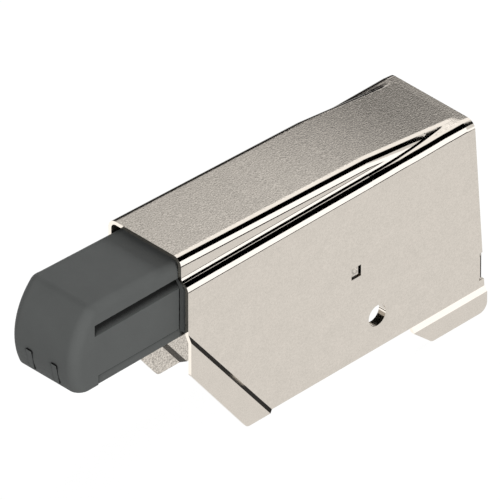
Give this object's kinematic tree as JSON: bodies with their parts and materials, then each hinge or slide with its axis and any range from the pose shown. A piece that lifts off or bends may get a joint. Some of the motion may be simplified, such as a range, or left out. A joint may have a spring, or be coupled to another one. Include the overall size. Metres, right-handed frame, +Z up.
{
  "type": "soft close damper",
  "caption": "Clip-on hinge damper: folded sheet-steel housing with a wedge roof and joggled flaps, and a grey plunger that slides in against a spring and a fluid damper.",
  "frame": {"origin": "bottom centre of the whole part's box, level with the lower edge of the rear flaps", "axes": "+X from the plunger's nose towards the rear of the housing, +Y across the sheet walls, +Z up towards the roof"},
  "size_m": [0.0693, 0.016, 0.0324],
  "materials": {
    "plated_steel": "nickel-plated sheet, satin",
    "grey_plastic": "fine moulded texture",
    "tube_metal": "drawn, smooth",
    "pale_plastic": "moulded",
    "bright_steel": "bright drawn",
    "seal_rubber": "moulded rubber"
  },
  "bodies": {
    "housing_body": {"housing": "plated_steel", "guide_carrier": "grey_plastic", "piston": "pale_plastic", "piston_ring": "pale_plastic", "valve_disc": "bright_steel", "piston_clip": "bright_steel", "piston_rod": "bright_steel", "rod_anchor": "bright_steel", "rod_clip": "bright_steel", "return_spring": "bright_steel", "rear_spring_seat": "bright_steel"},
    "plunger_body": {"plunger": "grey_plastic", "damper_tube": "tube_metal", "tube_end_plug": "pale_plastic", "plug_o_ring": "seal_rubber", "tube_retaining_ring": "bright_steel", "rod_guide": "pale_plastic", "rod_seal": "seal_rubber", "seal_support_washer": "bright_steel", "compensation_foam": "seal_rubber", "front_spring_seat": "pale_plastic"}
  },
  "joints": [
    {"name": "plunger_slide", "type": "slide", "parent": "housing_body", "child": "plunger_body", "axis": [1, 0, 0], "range_m": [0, 0.013], "stiffness_N_per_m": 300, "springref_m": -0.004, "deforming": ["return_spring"]}
  ]
}
